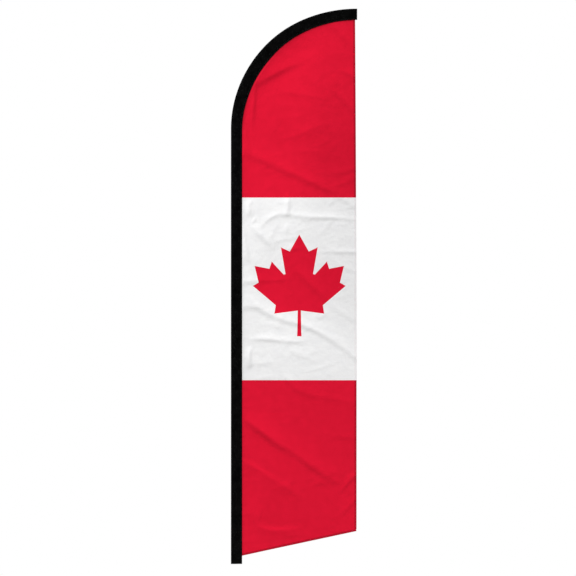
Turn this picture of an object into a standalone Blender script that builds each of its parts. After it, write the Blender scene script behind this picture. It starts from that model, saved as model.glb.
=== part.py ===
"""Feather flag on a sectioned, curved pole.

Metres, +Z up. The origin is the centre of the pole's foot, +X points from the pole towards the flag's
free (fly) edge, and Y is across the cloth. The black sleeve runs straight up, then bends over as a quarter
ellipse. Everything in and along it is placed on that one outline: a station on it and an offset inwards.
"""

from math import acos, atan2, cos, hypot, pi, sin

import bmesh
import bpy
from mathutils import Matrix, Vector

# ---------------------------------------------------------------- outline of the flag
STRAIGHT_HEIGHT = 2.741      # pole's foot to where the curve begins
ARC_RISE = 0.758             # height of the quarter ellipse, on the sleeve's outer edge
ARC_REACH = 0.796            # its half-width
SLEEVE_DROP = 0.006          # the sleeve's foot hangs this far below the pole's foot
SLEEVE_WIDTH = 0.068         # across the sleeve, seen square on
SLEEVE_WALL = 0.0008
SEAM_HALF = 0.0015           # half-thickness of the sewn edge
SEAM_ALLOWANCE = 0.008       # width sewn shut along it
FLY_TOP_X = 0.766            # free edge at the top and at the foot
FLY_FOOT_X = 0.775
FOOT_Z_AT_SEAM = 0.052       # the slanted foot edge, at the sleeve and at the free edge
FOOT_Z_AT_FLY = 0.205
CLOTH = 0.0006
HEM_WIDTH = 0.013
HEM_THICK = 0.0016

# ---------------------------------------------------------------- pole
SLEEVE_EASE = 0.0025         # room between the lower tube and the sleeve's round fold
POCKET_TIP_RADIUS = 0.0074   # inside the fold, at the sleeve's tip
LOWER_LENGTH = 0.800
MIDDLE_LENGTH = 0.700
LOWER_ROD_FREE = 0.3511      # lower rod left bare between the upper tube and the ferrule
ENGAGEMENT = 0.100           # how far each section is pushed into the next
LOWER_RADIUS = 0.0127
LOWER_WALL = 0.0015
MIDDLE_RADIUS = 0.0110
MIDDLE_WALL = 0.0012
UPPER_WALL = 0.0012
CONNECTOR_WALL = 0.0015
COLLAR_HEIGHT = 0.006        # bead, stop ring and plug flange
ROD_RADIUS = 0.0050
TIP_ROD_END_RADIUS = 0.0026
FERRULE_WALL = 0.0010
FERRULE_TO_ARC = 0.020       # straight rod left between the ferrule and the curve
BUSH_BORE_RADIUS = 0.00825
BUSH_FLANGE = 0.003
BUSH_DEPTH = 0.040
CAP_RADIUS = 0.0048
CAP_LENGTH = 0.022
CAP_FLOOR = 0.004
TIP_CLOSURE = 0.006          # thickness of the sleeve's sewn-shut end
POCKET_WEB = 0.0010
POCKET_LENGTH = 0.070
STRAP_WEB = 0.0010
STRAP_HEIGHT = 0.025
STRAP_LIFT = 0.012           # the strap's lower edge above the pole's foot
RIVET_RADIUS = 0.0016

FIT = 0.0003                 # between pieces that touch
CAP_FIT = 0.0006             # round the slightly bent rod end inside the cap
POCKET_FIT = 0.0010          # between the tip pocket and the sleeve, which bends in straight pieces
RING_STEPS = 32
ARC_STEPS = 22               # straight pieces that the sleeve's curve is made of

# ---------------------------------------------------------------- what follows from them
ROUND_RADIUS = LOWER_RADIUS + SLEEVE_EASE + SLEEVE_WALL
ROUND_TIP_RADIUS = POCKET_TIP_RADIUS + SLEEVE_WALL
CENTRE_X = ARC_REACH - ROUND_RADIUS
SEAM_OFFSET = SLEEVE_WIDTH + FIT
SEAM_X = SLEEVE_WIDTH - ROUND_RADIUS
UPPER_RADIUS = MIDDLE_RADIUS - MIDDLE_WALL - FIT

LOWER_TOP = BUSH_FLANGE + FIT + LOWER_LENGTH
MIDDLE_FOOT = LOWER_TOP + COLLAR_HEIGHT + 2 * FIT
MIDDLE_TOP = MIDDLE_FOOT + MIDDLE_LENGTH
UPPER_FOOT = MIDDLE_TOP - ENGAGEMENT
FERRULE_TOP = STRAIGHT_HEIGHT - FERRULE_TO_ARC
FERRULE_FOOT = FERRULE_TOP - 2 * ENGAGEMENT
UPPER_TOP = FERRULE_FOOT - LOWER_ROD_FREE
ROD_FOOT = UPPER_TOP - ENGAGEMENT
LOWER_ROD_TOP = FERRULE_FOOT + ENGAGEMENT
# distances back from the sleeve's tip
POCKET_END = TIP_CLOSURE + POCKET_FIT
CAP_NOSE = POCKET_END + POCKET_WEB + FIT
ROD_END = CAP_NOSE + CAP_FLOOR + FIT

model = bpy.data.collections.new("feather_flag")
cutters = bpy.data.collections.new("cutters")


def material(name, colour, roughness, metallic=0.0):
    """A plain surface finish."""
    made = bpy.data.materials.new(name)
    made.use_nodes = True
    shader = made.node_tree.nodes["Principled BSDF"]
    shader.inputs["Base Color"].default_value = (*colour, 1.0)
    shader.inputs["Roughness"].default_value = roughness
    shader.inputs["Metallic"].default_value = metallic
    return made


def add(name, mesh, finish, group=None):
    """Puts a mesh in the scene under its own name."""
    thing = bpy.data.objects.new(name, mesh)
    if finish is not None:
        thing.data.materials.append(finish)
    (group or model).objects.link(thing)
    return thing


# ---------------------------------------------------------------- the outline
def outline(angle, z=0.0):
    """A point of the sleeve's outer edge and the direction inwards. Angle 0 is the straight stretch, at height z;
    from there to pi/2 the edge is a quarter ellipse."""
    if angle <= 0.0:
        return Vector((-ROUND_RADIUS, 0.0, z)), Vector((1.0, 0.0, 0.0))
    edge = Vector((CENTRE_X - ARC_REACH * cos(angle), 0.0, STRAIGHT_HEIGHT + ARC_RISE * sin(angle)))
    inwards = Vector((ARC_RISE * cos(angle), 0.0, -ARC_REACH * sin(angle))).normalized()
    return edge, inwards


def inset(angle, offset, z=STRAIGHT_HEIGHT):
    """The point that lies an offset inside the outer edge."""
    edge, inwards = outline(angle, z)
    return edge + inwards * offset


def seam_point(angle):
    """The cloth's edge along the sleeve, on the same straight pieces that the sleeve's curve is made of."""
    place = angle / (pi / 2) * ARC_STEPS
    piece = min(int(place), ARC_STEPS - 1)
    start = inset(pi / 2 * piece / ARC_STEPS, SEAM_OFFSET)
    end = inset(pi / 2 * (piece + 1) / ARC_STEPS, SEAM_OFFSET)
    return start.lerp(end, place - piece)


def angle_where(x):
    """The angle at which the cloth's edge along the sleeve reaches x, by halving."""
    low, high = 0.0, pi / 2
    for _ in range(50):
        middle = (low + high) / 2
        if seam_point(middle).x < x:
            low = middle
        else:
            high = middle
    return (low + high) / 2


def share_of_arc(angle):
    return max(angle, 0.0) / (pi / 2)


def round_radius(angle):
    """Outer radius of the sleeve's round fold, which narrows along the curve."""
    return ROUND_RADIUS + (ROUND_TIP_RADIUS - ROUND_RADIUS) * share_of_arc(angle)


def centreline(angle, z=STRAIGHT_HEIGHT):
    """The pole's centre, which is the centre of the round fold."""
    return inset(angle, round_radius(angle), z)


def angle_before_end(distance):
    """The angle at which the pole's centreline is this far in X from the sleeve's tip."""
    low, high = 0.0, pi / 2
    for _ in range(50):
        middle = (low + high) / 2
        if CENTRE_X - centreline(middle).x > distance:
            low = middle
        else:
            high = middle
    return (low + high) / 2


# ---------------------------------------------------------------- shapes
def turned(name, profile, finish, foot=(0.0, 0.0, 0.0)):
    """A closed profile of (radius, height) points, down its outer side and up its inner side, turned about Z."""
    mesh = bpy.data.meshes.new(name)
    count = len(profile)
    points = [(radius, 0.0, height) for radius, height in profile]
    edges = [(index, (index + 1) % count) for index in range(count)]
    mesh.from_pydata(points, edges, [])
    thing = add(name, mesh, finish)
    thing.location = foot
    screw = thing.modifiers.new("turn", "SCREW")
    screw.steps = RING_STEPS
    screw.render_steps = RING_STEPS
    screw.use_merge_vertices = True
    screw.merge_threshold = 0.00001
    screw.use_smooth_shade = True
    return thing


def tube(name, outer, inner, foot, top, finish):
    return turned(name, [(outer, top), (outer, foot), (inner, foot), (inner, top)], finish)


def solid_rod(name, radius, foot, top, finish):
    """A cylinder on the pole's axis, from foot to top."""
    mesh = bpy.data.meshes.new(name)
    build = bmesh.new()
    bmesh.ops.create_cone(build, cap_ends=True, segments=RING_STEPS, radius1=radius, radius2=radius, depth=top - foot)
    build.to_mesh(mesh)
    build.free()
    thing = add(name, mesh, finish)
    thing.location = (0.0, 0.0, (foot + top) / 2)
    return thing


def cross_pin(name, radius, length, height, finish, axis="Y"):
    """A small cylinder across the pole's axis."""
    pin = solid_rod(name, radius, -length / 2, length / 2, finish)
    pin.location = (0.0, 0.0, height)
    pin.rotation_euler = (pi / 2, 0.0, 0.0) if axis == "Y" else (0.0, pi / 2, 0.0)
    return pin


def cross_hole(thing, radius, height, length=0.060):
    """Drills a hole along Y through a turned piece."""
    cutter = cross_pin(thing.name + "_drill", radius, length, height, None)
    model.objects.unlink(cutter)
    cutters.objects.link(cutter)
    cutter.display_type = "WIRE"
    cutter.hide_render = True
    cut = thing.modifiers.new("drill", "BOOLEAN")
    cut.operation = "DIFFERENCE"
    cut.object = cutter


def skin(build, rows):
    """Joins rings of points, all of one length, into a closed-round wall."""
    for below, above in zip(rows, rows[1:]):
        count = len(below)
        for index in range(count):
            after = (index + 1) % count
            build.faces.new((below[index], below[after], above[after], above[index]))


def shell(name, outer_rings, inner_rings, finish):
    """A sock: two walls, an inner and an outer, joined at the mouth and each closed at the far end."""
    mesh = bpy.data.meshes.new(name)
    build = bmesh.new()
    outer = [[build.verts.new(point) for point in ring] for ring in outer_rings]
    inner = [[build.verts.new(point) for point in ring] for ring in inner_rings]
    skin(build, outer)
    skin(build, inner)
    skin(build, [outer[0], inner[0]])
    build.faces.new(outer[-1])
    build.faces.new(inner[-1])
    bmesh.ops.recalc_face_normals(build, faces=build.faces)
    build.to_mesh(mesh)
    build.free()
    return add(name, mesh, finish)


# ---------------------------------------------------------------- sleeve and its fittings
def teardrop(radius, arc_points, width, seam_half, wall=0.0):
    """The sleeve's section as (offset, y) points: a circle that touches the outer edge, and two straight walls
    that run from it to the sewn edge. A wall above 0 gives the hollow that far inside it."""
    reach = width - radius
    distance = hypot(reach, seam_half)
    turn = atan2(seam_half, reach) + acos(radius / distance)
    touch = Vector((radius + radius * cos(turn), radius * sin(turn)))
    slope = (touch.y - seam_half) / (width - touch.x)
    inner = radius - wall
    points = []
    for index in range(arc_points):
        angle = turn + (2 * pi - 2 * turn) * index / (arc_points - 1)
        points.append((radius + inner * cos(angle), inner * sin(angle)))
    far = width if wall == 0.0 else width - SEAM_ALLOWANCE
    half = points[0][1] - slope * (far - points[0][0])
    return [(far, half), *points, (far, -half)]


def ring_at(angle, z, section):
    """A section of (offset, y) points, set across the outline."""
    edge, inwards = outline(angle, z)
    return [edge + inwards * offset + Vector((0.0, y, 0.0)) for offset, y in section]


def sleeve(finish):
    """The black sleeve: straight, then along the quarter ellipse, closed at its tip."""
    fold_points = 13
    end_angle = angle_before_end(TIP_CLOSURE)
    stations = [(0.0, -SLEEVE_DROP), (0.0, STRAIGHT_HEIGHT / 2), (0.0, STRAIGHT_HEIGHT)]
    outer = [*stations, *((pi / 2 * step / ARC_STEPS, 0.0) for step in range(1, ARC_STEPS + 1))]
    inner = [*outer[:-1], (end_angle, 0.0)]
    sides = []
    for places, wall in ((outer, 0.0), (inner, SLEEVE_WALL)):
        sides.append([
            ring_at(angle, z, teardrop(round_radius(angle), fold_points, SLEEVE_WIDTH, SEAM_HALF, wall))
            for angle, z in places
        ])
    return shell("pole_sleeve", *sides, finish)


def circle(radius, centre, points=16):
    return [
        (centre + radius * cos(2 * pi * index / points), radius * sin(2 * pi * index / points))
        for index in range(points)
    ]


def tip_pocket(finish):
    """A webbing pocket in the sleeve's tip, round the cap on the rod."""
    mouth = angle_before_end(POCKET_END + POCKET_LENGTH)
    steps = 5
    sides = []
    for end, thick in ((POCKET_END, 0.0), (POCKET_END + POCKET_WEB, POCKET_WEB)):
        last = angle_before_end(end)
        rings = []
        for step in range(steps + 1):
            angle = mouth + (last - mouth) * step / steps
            radius = round_radius(angle) - SLEEVE_WALL - POCKET_FIT - thick
            rings.append(ring_at(angle, 0.0, circle(radius, round_radius(angle))))
        sides.append(rings)
    return shell("tip_pocket", *sides, finish)


def hold_down_strap(finish):
    """A webbing band round the lower tube with a tail that is sewn in at the sleeve's edge: a flat outline, stood up."""
    inner = LOWER_RADIUS + 2 * FIT
    outer = inner + STRAP_WEB
    tail = STRAP_WEB
    reach = SEAM_X - SEAM_ALLOWANCE - 2 * FIT
    outline_curve = bpy.data.curves.new("hold_down_strap", "CURVE")
    outline_curve.dimensions = "2D"
    outline_curve.fill_mode = "BOTH"
    outline_curve.extrude = STRAP_HEIGHT / 2
    spread = atan2(tail, outer)
    around = [
        (outer * cos(spread + (2 * pi - 2 * spread) * index / 28), outer * sin(spread + (2 * pi - 2 * spread) * index / 28))
        for index in range(29)
    ]
    band = [*around, (reach, -tail), (reach, tail)]
    hole = [(inner * cos(2 * pi * index / 28), inner * sin(2 * pi * index / 28)) for index in range(28)]
    for loop in (band, hole):
        spline = outline_curve.splines.new("POLY")
        spline.points.add(len(loop) - 1)
        spline.use_cyclic_u = True
        for point, (x, y) in zip(spline.points, loop):
            point.co = (x, y, 0.0, 1.0)
    thing = add("hold_down_strap", outline_curve, finish)
    thing.location = (0.0, 0.0, STRAP_LIFT + STRAP_HEIGHT / 2)
    return thing


# ---------------------------------------------------------------- cloth
def foot_edge(x):
    """Height of the flag's slanted foot edge."""
    return FOOT_Z_AT_SEAM + (FOOT_Z_AT_FLY - FOOT_Z_AT_SEAM) * (x - SEAM_X) / (FLY_FOOT_X - SEAM_X)


def seam_distance(x, z):
    """Roughly how far a point of the cloth lies from the sleeve's seam."""
    across = ARC_REACH - SLEEVE_WIDTH
    up = ARC_RISE - SLEEVE_WIDTH
    above = max(z - STRAIGHT_HEIGHT, 0.0)
    return max(1.0 - hypot((CENTRE_X - x) / across, above / up), 0.0) * across


def billow(x, z):
    """How far the cloth stands off its plane: nothing at the seam, and slow waves towards the free edge."""
    near = min(seam_distance(x, z) / 0.22, 1.0)
    hold = near * near * (3.0 - 2.0 * near)
    along = seam_distance(x, z) / ARC_REACH
    slow = 0.0075 * sin(2 * pi * z / 1.9 + 0.9) * (0.45 + 0.55 * along)
    quick = 0.0040 * sin(2 * pi * z / 0.83 + 2.6 * along + 0.4)
    return hold * (slow + quick)


def cloth_point(angle, share, low):
    """The cloth between its foot line and the seam line above it. Each column stands at one angle of the seam's
    line and leans out a little with the free edge, and share runs from 0 at the low line to 1 at the seam."""
    top = seam_point(angle)
    lean = (FLY_FOOT_X - FLY_TOP_X) / (FLY_TOP_X - SEAM_X)
    x = top.x + (top.x - SEAM_X) * lean * (1.0 - share)
    bottom = foot_edge(x) + low
    z = bottom + (top.z - bottom) * share
    return Vector((x, billow(x, z), z))


def patch(name, place, columns, rows, thickness, finish):
    """A piece of cloth: a grid whose points are placed by a function of two shares, given its thickness."""
    mesh = bpy.data.meshes.new(name)
    build = bmesh.new()
    bmesh.ops.create_grid(build, x_segments=columns, y_segments=rows, size=0.5)
    for vertex in build.verts:
        vertex.co = place(vertex.co.x + 0.5, vertex.co.y + 0.5)
    build.to_mesh(mesh)
    build.free()
    thing = add(name, mesh, finish)
    thick = thing.modifiers.new("thickness", "SOLIDIFY")
    thick.thickness = thickness
    thick.offset = 0.0
    return thing


def flag_cloth(printed):
    """The printed panel and its two hems, which meet edge to edge."""
    panel_end = angle_where(FLY_TOP_X - HEM_WIDTH - FIT)
    hem_start = angle_where(FLY_TOP_X - HEM_WIDTH)
    hem_end = angle_where(FLY_TOP_X)
    stations = [pi / 2 * step / ARC_STEPS for step in range(ARC_STEPS)]
    columns = [angle for angle in stations if angle < panel_end] + [panel_end]

    def panel(across, up):
        return cloth_point(columns[round(across * (len(columns) - 1))], up, HEM_WIDTH + FIT)

    def fly(across, up):
        return cloth_point(hem_start + (hem_end - hem_start) * across, up, HEM_WIDTH + FIT)

    def bottom(across, up):
        x = SEAM_X + FIT + (FLY_FOOT_X - SEAM_X - FIT) * across
        z = foot_edge(x) + HEM_WIDTH * up
        return Vector((x, billow(x, z), z))

    patch("flag_panel", panel, len(columns) - 1, 40, CLOTH, printed)
    patch("fly_hem", fly, 1, 44, HEM_THICK, printed)
    patch("bottom_hem", bottom, 24, 1, HEM_THICK, printed)


# ---------------------------------------------------------------- pole
def pole(aluminium, steel, brass, plastic, glass_fibre):
    """The push-fit sections, from the foot up."""
    lower_bore = LOWER_RADIUS - LOWER_WALL
    middle_bore = MIDDLE_RADIUS - MIDDLE_WALL
    upper_bore = UPPER_RADIUS - UPPER_WALL

    bush_outer = lower_bore - FIT
    turned("foot_bush", [
        (bush_outer, BUSH_DEPTH), (bush_outer, BUSH_FLANGE), (LOWER_RADIUS, BUSH_FLANGE), (LOWER_RADIUS, 0.0),
        (BUSH_BORE_RADIUS, 0.0), (BUSH_BORE_RADIUS, BUSH_DEPTH),
    ], plastic)
    tube("lower_tube", LOWER_RADIUS, lower_bore, BUSH_FLANGE + FIT, LOWER_TOP, aluminium)

    low_plug = lower_bore - FIT
    high_plug = middle_bore - FIT
    bead_foot = LOWER_TOP + FIT
    bead_top = bead_foot + COLLAR_HEIGHT
    connector_bore = high_plug - CONNECTOR_WALL
    turned("lower_connector", [
        (high_plug, bead_top + ENGAGEMENT), (high_plug, bead_top), (LOWER_RADIUS, bead_top),
        (LOWER_RADIUS, bead_foot), (low_plug, bead_foot), (low_plug, bead_foot - ENGAGEMENT),
        (connector_bore, bead_foot - ENGAGEMENT), (connector_bore, bead_top + ENGAGEMENT),
    ], aluminium)
    tube("middle_tube", MIDDLE_RADIUS, middle_bore, MIDDLE_FOOT, MIDDLE_TOP, aluminium)

    upper = tube("upper_tube", UPPER_RADIUS, upper_bore, UPPER_FOOT, UPPER_TOP, aluminium)
    ring_foot = MIDDLE_TOP + FIT
    ring_middle = ring_foot + COLLAR_HEIGHT / 2
    ring = tube("upper_stop_ring", MIDDLE_RADIUS, UPPER_RADIUS + FIT, ring_foot, ring_foot + COLLAR_HEIGHT, steel)
    cross_hole(upper, RIVET_RADIUS + FIT, ring_middle)
    cross_hole(ring, RIVET_RADIUS + FIT, ring_middle)
    cross_pin("stop_ring_rivet", RIVET_RADIUS, 2 * MIDDLE_RADIUS + 0.001, ring_middle, steel)

    plug_radius = upper_bore - FIT
    flange_foot = UPPER_TOP + FIT
    rod_bore = ROD_RADIUS + FIT
    plug = turned("rod_plug", [
        (rod_bore + 0.0018, flange_foot + 2.5 * COLLAR_HEIGHT), (UPPER_RADIUS, flange_foot + COLLAR_HEIGHT),
        (UPPER_RADIUS, flange_foot), (plug_radius, flange_foot), (plug_radius, ROD_FOOT - 0.004),
        (0.0, ROD_FOOT - 0.004), (0.0, ROD_FOOT - FIT), (rod_bore, ROD_FOOT - FIT),
        (rod_bore, flange_foot + 2.5 * COLLAR_HEIGHT),
    ], plastic)
    pin_height = ROD_FOOT + 0.015
    rod = solid_rod("lower_rod", ROD_RADIUS, ROD_FOOT, LOWER_ROD_TOP, glass_fibre)
    cross_hole(plug, RIVET_RADIUS + FIT, pin_height)
    cross_hole(rod, RIVET_RADIUS + FIT, pin_height)
    cross_pin("rod_plug_pin", RIVET_RADIUS, 2 * plug_radius - 0.001, pin_height, steel)

    tube("rod_ferrule", ROD_RADIUS + FIT + FERRULE_WALL, ROD_RADIUS + FIT, FERRULE_FOOT, FERRULE_TOP, brass)
    tip_rod(glass_fibre)
    tip_cap(plastic)


def tip_rod(finish):
    """The bent rod: straight in the ferrule, then along the centreline, tapering over the curve."""
    arc_steps = 28
    last = angle_before_end(ROD_END)
    places = [(0.0, LOWER_ROD_TOP + FIT), (0.0, FERRULE_TOP), (0.0, STRAIGHT_HEIGHT - 0.004)]
    places += [(last * step / arc_steps, 0.0) for step in range(1, arc_steps + 1)]
    curve = bpy.data.curves.new("tip_rod", "CURVE")
    curve.dimensions = "3D"
    curve.bevel_depth = ROD_RADIUS
    curve.bevel_resolution = 2
    curve.use_fill_caps = True
    spline = curve.splines.new("POLY")
    spline.points.add(len(places) - 1)
    for point, (angle, z) in zip(spline.points, places):
        point.co = (*centreline(angle, z), 1.0)
        point.radius = 1.0 + (TIP_ROD_END_RADIUS / ROD_RADIUS - 1.0) * share_of_arc(angle)
    add("tip_rod", curve, finish)


def tip_cap(finish):
    """A round-nosed cap on the rod's end, its mouth towards the rod."""
    end = centreline(angle_before_end(CAP_NOSE))
    mouth = centreline(angle_before_end(CAP_NOSE + CAP_LENGTH))
    bore = TIP_ROD_END_RADIUS + CAP_FIT
    nose_steps = 5
    dome = CAP_RADIUS * 0.6
    profile = [
        (CAP_RADIUS * sin(pi / 2 * step / nose_steps), dome * cos(pi / 2 * step / nose_steps) - dome)
        for step in range(nose_steps + 1)
    ]
    profile += [(CAP_RADIUS, -CAP_LENGTH), (bore, -CAP_LENGTH), (bore, -CAP_FLOOR), (0.0, -CAP_FLOOR)]
    cap = turned("tip_cap", profile, finish)
    direction = (end - mouth).normalized()
    cap.matrix_world = Matrix.Translation(end) @ direction.to_track_quat("Z", "Y").to_matrix().to_4x4()
    return cap


def main():
    for thing in list(bpy.data.objects):
        bpy.data.objects.remove(thing, do_unlink=True)
    bpy.context.scene.collection.children.link(model)
    bpy.context.scene.collection.children.link(cutters)

    aluminium = material("mill aluminium", (0.62, 0.63, 0.65), 0.35, 1.0)
    steel = material("zinc-plated steel", (0.52, 0.53, 0.55), 0.40, 1.0)
    brass = material("brass", (0.72, 0.53, 0.26), 0.35, 1.0)
    plastic = material("black moulded plastic", (0.02, 0.02, 0.02), 0.50)
    glass_fibre = material("white glass fibre", (0.72, 0.72, 0.68), 0.40)
    black_cloth = material("black polyester", (0.004, 0.004, 0.004), 0.85)
    webbing = material("black webbing", (0.008, 0.008, 0.008), 0.80)
    printed = material("printed polyester", (0.62, 0.010, 0.035), 0.75)

    pole(aluminium, steel, brass, plastic, glass_fibre)
    sleeve(black_cloth)
    tip_pocket(webbing)
    hold_down_strap(webbing)
    flag_cloth(printed)


main()
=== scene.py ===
"""Looks for the feather flag: its cloth, sleeve, hems, webbing and stitching, and the finishes of its pole.

Metres, +Z up. The pole's axis is X = Y = 0, the cloth hangs in the plane Y = 0 on the +X side, and the side
that is seen square on faces -Y. The sleeve's outer edge is the line that everything sewn is placed on: it
runs straight up, then bends over as a quarter ellipse. A place is a station on it and an offset inwards.
"""

import math

import bpy
import numpy as np
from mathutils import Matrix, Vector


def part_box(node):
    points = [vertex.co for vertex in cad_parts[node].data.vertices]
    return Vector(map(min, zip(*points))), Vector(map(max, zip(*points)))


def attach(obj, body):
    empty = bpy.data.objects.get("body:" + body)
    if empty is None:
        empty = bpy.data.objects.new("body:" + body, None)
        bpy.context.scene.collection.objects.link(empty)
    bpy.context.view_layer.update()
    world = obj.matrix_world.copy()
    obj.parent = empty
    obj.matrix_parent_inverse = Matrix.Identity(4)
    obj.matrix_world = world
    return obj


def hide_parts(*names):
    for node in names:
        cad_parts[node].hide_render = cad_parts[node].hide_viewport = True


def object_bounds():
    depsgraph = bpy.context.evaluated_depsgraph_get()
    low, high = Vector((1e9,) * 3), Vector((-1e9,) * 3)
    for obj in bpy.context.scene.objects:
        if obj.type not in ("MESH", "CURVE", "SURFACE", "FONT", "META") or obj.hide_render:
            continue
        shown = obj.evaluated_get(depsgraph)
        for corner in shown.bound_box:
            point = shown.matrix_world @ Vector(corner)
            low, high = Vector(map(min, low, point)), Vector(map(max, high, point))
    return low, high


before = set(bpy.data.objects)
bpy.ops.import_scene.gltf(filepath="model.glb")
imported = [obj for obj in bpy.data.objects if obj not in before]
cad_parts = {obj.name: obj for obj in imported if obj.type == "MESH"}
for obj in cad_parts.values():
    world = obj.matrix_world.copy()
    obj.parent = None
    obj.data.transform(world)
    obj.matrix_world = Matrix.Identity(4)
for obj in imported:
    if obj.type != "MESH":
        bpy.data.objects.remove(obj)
cad_low, cad_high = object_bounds()

# ---------------------------------------------------------------- sizes
MM = 0.001
sleeve_low, sleeve_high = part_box("pole_sleeve")
_, fly_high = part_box("fly_hem")
strap_low, strap_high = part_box("hold_down_strap")

FOLD_RADIUS = -sleeve_low.x            # the sleeve's round fold, about the pole's axis
FOLD_TIP_RADIUS = 8.2 * MM             # the same at the sleeve's tip
CURVE_X = sleeve_high.x                # centre of the quarter ellipse
CURVE_REACH = sleeve_high.x - sleeve_low.x
STRAIGHT_HEIGHT = 2.741                # where the curve begins
CURVE_RISE = sleeve_high.z - STRAIGHT_HEIGHT
SLEEVE_FOOT = sleeve_low.z
SLEEVE_WIDTH = 69.4 * MM               # seen square on
SLEEVE_CLOTH = 0.7 * MM
TURN_CLOTH = 0.6 * MM                  # the turned-in layer at its foot, which is pressed flat
TURN_HEIGHT = 22 * MM
WEBBING = 0.9 * MM
POCKET = 77 * MM, 8 * MM               # where the tip's webbing pocket begins and ends, from the sleeve's tip
SEAM_X = SLEEVE_WIDTH - FOLD_RADIUS
SEAM_GAP = 0.9 * MM                    # from the cloth's middle to each sleeve layer's middle, at the seam
TUCK = 5 * MM                          # how far the printed cloth goes in between the sleeve's edges

FLY_TOP_X = 767 * MM                   # free edge at the top and at the foot
FLY_FOOT_X = fly_high.x + 1 * MM
FOOT_AT_SEAM = 46 * MM                 # the slanted foot edge, at the sleeve and at the free edge
FOOT_AT_FLY = 201 * MM
HEM_WIDTH = 13 * MM
HEM_FOLD = 0.75 * MM                   # radius of the hem's fold, to the middle of its cloth
HEM_CLOTH = 0.4 * MM
HEM_HOLD = 6 * MM                      # the hem follows the cloth's shape this far in from its edge
CLOTH = 0.5 * MM
HEM_STITCH = 6 * MM, 4.4 * MM, 0.28 * MM   # pitch, length and thread's radius
HEM_ROWS = 3 * MM, 10.5 * MM           # rows of stitches, in from the hem's fold
SEAM_STITCH = 5 * MM, 3.8 * MM, 0.3 * MM
SEAM_ROWS = 3.5 * MM, 8.5 * MM         # the same, in from the sleeve's seam edge

WHITE_LOW, WHITE_HIGH = 1.1540, 2.3073 # the white field
LEAF_X, LEAF_TOP = 0.4147, 2.0735      # the leaf's centreline and its upper tip

WORLD_LIGHT = 0.15                     # how bright the white surroundings are as a light; they are seen as 1
KEY_LIGHT = 3.84                       # W/m2
LEFT_LIGHT, BACK_LIGHT = 32.0, 560.0   # W
FLOOR_DROP, FLOOR_RADIUS = 0.30, 2.7   # the floor lies this far below the sleeve's foot
CAMERA_DISTANCE, WIDTH_SEEN = 30.0, 3.6374
SENSOR_WIDTH = 36.0                    # mm

random = np.random.default_rng(11)


# ---------------------------------------------------------------- meshes
def mesh_object(name, points, faces, look, shade=None):
    """A mesh object at the origin from arrays of points and of quads or triangles. shade, one number a
    point, is kept as the attribute seam_show_through_and_painted_shadow."""
    mesh = bpy.data.meshes.new(name)
    points = np.asarray(points, np.float32).reshape(-1, 3)
    faces = np.asarray(faces, np.int32)
    sides = faces.shape[1]
    mesh.vertices.add(len(points))
    mesh.vertices.foreach_set("co", points.ravel())
    mesh.loops.add(faces.size)
    mesh.loops.foreach_set("vertex_index", faces.ravel())
    mesh.polygons.add(len(faces))
    mesh.polygons.foreach_set("loop_start", np.arange(0, faces.size, sides, dtype=np.int32))
    mesh.polygons.foreach_set("loop_total", np.full(len(faces), sides, np.int32))
    mesh.materials.append(look)
    mesh.update(calc_edges=True)
    if shade is not None:
        mark = mesh.attributes.new("seam_show_through_and_painted_shadow", "FLOAT", "POINT")
        mark.data.foreach_set("value", np.asarray(shade, np.float32).ravel())
    mesh.shade_smooth()
    mesh.set_sharp_from_angle(angle=math.radians(50))
    made = bpy.data.objects.new(name, mesh)
    bpy.context.scene.collection.objects.link(made)
    return made


def unit(vectors):
    """The same directions at length 1."""
    return vectors / np.maximum(np.linalg.norm(vectors, axis=-1, keepdims=True), 1e-12)


def grid_normals(grid, closed=False):
    """Unit normals of a grid of points: the cross product of the steps along its rows and its columns."""
    if closed:
        across = np.roll(grid, -1, axis=1) - np.roll(grid, 1, axis=1)
    else:
        across = np.gradient(grid, axis=1)
    return unit(np.cross(across, np.gradient(grid, axis=0)))


def grid_faces(rows, columns, start=0, closed=False, flip=False):
    """The quads of a grid whose points are numbered row by row."""
    last = columns if closed else columns - 1
    row, column = np.meshgrid(np.arange(rows - 1), np.arange(last), indexing="ij")
    after = (column + 1) % columns
    faces = np.stack([row * columns + column, row * columns + after,
                      (row + 1) * columns + after, (row + 1) * columns + column], -1).reshape(-1, 4) + start
    return faces[:, ::-1] if flip else faces


def rim_faces(rows, columns, second):
    """The quads round the edge that join two layers of one open grid, the second numbered from second."""
    top = np.arange(columns) + (rows - 1) * columns
    around = np.concatenate([
        np.arange(columns - 1),
        np.arange(rows - 1) * columns + columns - 1,
        top[:0:-1],
        np.arange(rows - 1, 0, -1) * columns,
    ])
    after = np.roll(around, -1)
    return np.stack([around, around + second, after + second, after], -1)


def cloth_object(name, grid, thickness, look, shade=None):
    """A piece of cloth from a grid of points: two layers, half its thickness either side along the grid's
    normals, joined round the edge."""
    rows, columns = grid.shape[:2]
    normals = grid_normals(grid)
    half = thickness / 2
    points = np.concatenate([(grid + normals * half).reshape(-1, 3), (grid - normals * half).reshape(-1, 3)])
    count = rows * columns
    faces = np.concatenate([
        grid_faces(rows, columns),
        grid_faces(rows, columns, start=count, flip=True),
        rim_faces(rows, columns, count),
    ])
    both = None if shade is None else np.concatenate([shade.ravel(), shade.ravel()])
    return mesh_object(name, points, faces, look, both)


def smooth_step(value):
    """An even rise from 0 to 1 for a value from 0 to 1, level at both ends: 3v^2 - 2v^3."""
    value = np.clip(value, 0.0, 1.0)
    return value * value * (3.0 - 2.0 * value)


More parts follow.
